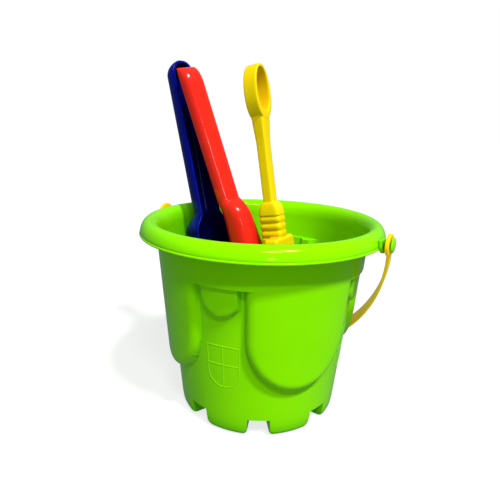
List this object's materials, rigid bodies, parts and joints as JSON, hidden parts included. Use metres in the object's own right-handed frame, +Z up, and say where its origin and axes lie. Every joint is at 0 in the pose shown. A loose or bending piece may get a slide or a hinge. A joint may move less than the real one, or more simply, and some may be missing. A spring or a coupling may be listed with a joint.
{
  "type": "sand bucket",
  "caption": "Castle-mould sand pail with a rolled rim, hollow battlement feet and a swinging strap handle, holding a scoop, a shovel and a rake that lift out.",
  "frame": {"origin": "bottom centre of the bucket, on the surface that its feet stand on", "axes": "+Z up the bucket, +X along the handle's pivot axis, +Y towards the side where the handle hangs down"},
  "size_m": [0.2078, 0.19, 0.2729],
  "materials": {
    "green_plastic": "glossy moulded lime green plastic",
    "yellow_plastic": "glossy moulded yellow plastic",
    "blue_plastic": "glossy moulded dark blue plastic",
    "red_plastic": "glossy moulded red plastic"
  },
  "bodies": {
    "bucket": {"bucket_shell": "green_plastic"},
    "handle": {"carrying_handle": "yellow_plastic"},
    "scoop": {"scoop": "blue_plastic"},
    "shovel": {"shovel": "red_plastic"},
    "rake": {"rake": "yellow_plastic"}
  },
  "joints": [
    {"name": "handle_swing", "type": "hinge", "parent": "bucket", "child": "handle", "pos_m": [0, 0, 0.1466], "axis": [1, 0, 0], "range_deg": [0, 110]},
    {"name": "scoop_lift", "type": "slide", "parent": "bucket", "child": "scoop", "axis": [-0.2373, 0, 0.9714], "range_m": [0, 0.27]},
    {"name": "shovel_lift", "type": "slide", "parent": "bucket", "child": "shovel", "axis": [-0.2954, -0.1093, 0.9491], "range_m": [0, 0.27]},
    {"name": "rake_lift", "type": "slide", "parent": "bucket", "child": "rake", "axis": [-0.1731, -0.0008, 0.9849], "range_m": [0, 0.27]}
  ]
}
